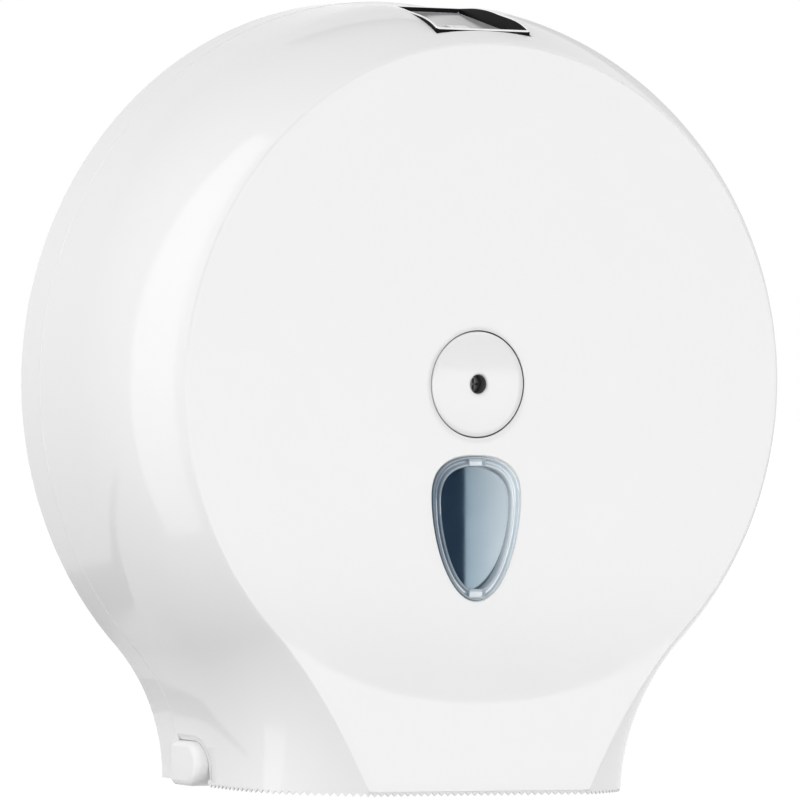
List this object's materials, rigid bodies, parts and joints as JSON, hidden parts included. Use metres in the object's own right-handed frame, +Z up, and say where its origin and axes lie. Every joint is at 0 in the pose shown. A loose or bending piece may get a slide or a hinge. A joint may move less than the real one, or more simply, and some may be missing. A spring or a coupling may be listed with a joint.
{
  "type": "jumbo toilet roll dispenser",
  "caption": "Wall mounted round dispenser for a jumbo toilet roll, with a hinged dished cover, tinted level window, plated lock tray and serrated tear edge at the neck.",
  "frame": {"origin": "on the wall plane, at the axis of the paper roll and the centre of the four wall slots", "axes": "+Z up, +Y into the wall, the front of the dispenser looks to -Y, +X to the right as seen from the front"},
  "size_m": [0.34, 0.1201, 0.3522],
  "materials": {
    "white_shell": "glossy moulded white ABS",
    "inner_plastic": "satin moulded light grey plastic",
    "lever_plastic": "smooth moulded white plastic",
    "steel": "zinc plated screws and pins",
    "spring_steel": "drawn spring wire",
    "tinted_pane": "clear blue grey tinted plastic",
    "plated_tray": "bright chrome plate on plastic",
    "brake_shoe": "matt dark grey elastomer"
  },
  "bodies": {
    "housing": {"rear_plate": "white_shell", "spindle": "inner_plastic", "spindle_screws": "steel", "spindle_cap": "inner_plastic", "spindle_cap_screw": "steel", "hinge_pin_left": "steel", "hinge_pin_right": "steel", "latch_keeper": "inner_plastic", "keeper_screws": "steel"},
    "sleeve": {"core_sleeve": "inner_plastic"},
    "cover": {"front_cover": "white_shell", "front_cap": "white_shell", "cap_screw": "steel", "cap_retainer": "inner_plastic", "window_pane": "tinted_pane", "lock_tray": "plated_tray", "lock_body": "inner_plastic", "lock_screws": "steel", "lever_pin": "steel", "brake_spring": "spring_steel", "lever_spring": "spring_steel"},
    "shoe": {"brake_shoe": "brake_shoe"},
    "lever": {"release_lever": "lever_plastic"}
  },
  "joints": [
    {"name": "cover_hinge", "type": "hinge", "parent": "housing", "child": "cover", "pos_m": [0, -0.032, -0.1715], "axis": [1, 0, 0], "range_deg": [0, 92]},
    {"name": "sleeve_spin", "type": "hinge", "parent": "housing", "child": "sleeve", "pos_m": [0, -0.048, 0], "axis": [0, 1, 0], "continuous": true},
    {"name": "brake_slide", "type": "slide", "parent": "cover", "child": "shoe", "axis": [0, -1, 0], "range_m": [0, 0.003], "stiffness_N_per_m": 400, "springref_m": -0.004, "deforming": ["brake_spring"]},
    {"name": "lever_turn", "type": "hinge", "parent": "cover", "child": "lever", "pos_m": [0, -0.072, 0.1545], "axis": [1, 0, 0], "range_deg": [0, 6], "stiffness_Nm_per_rad": 0.05, "springref_deg": -5.73, "deforming": ["lever_spring"]}
  ]
}
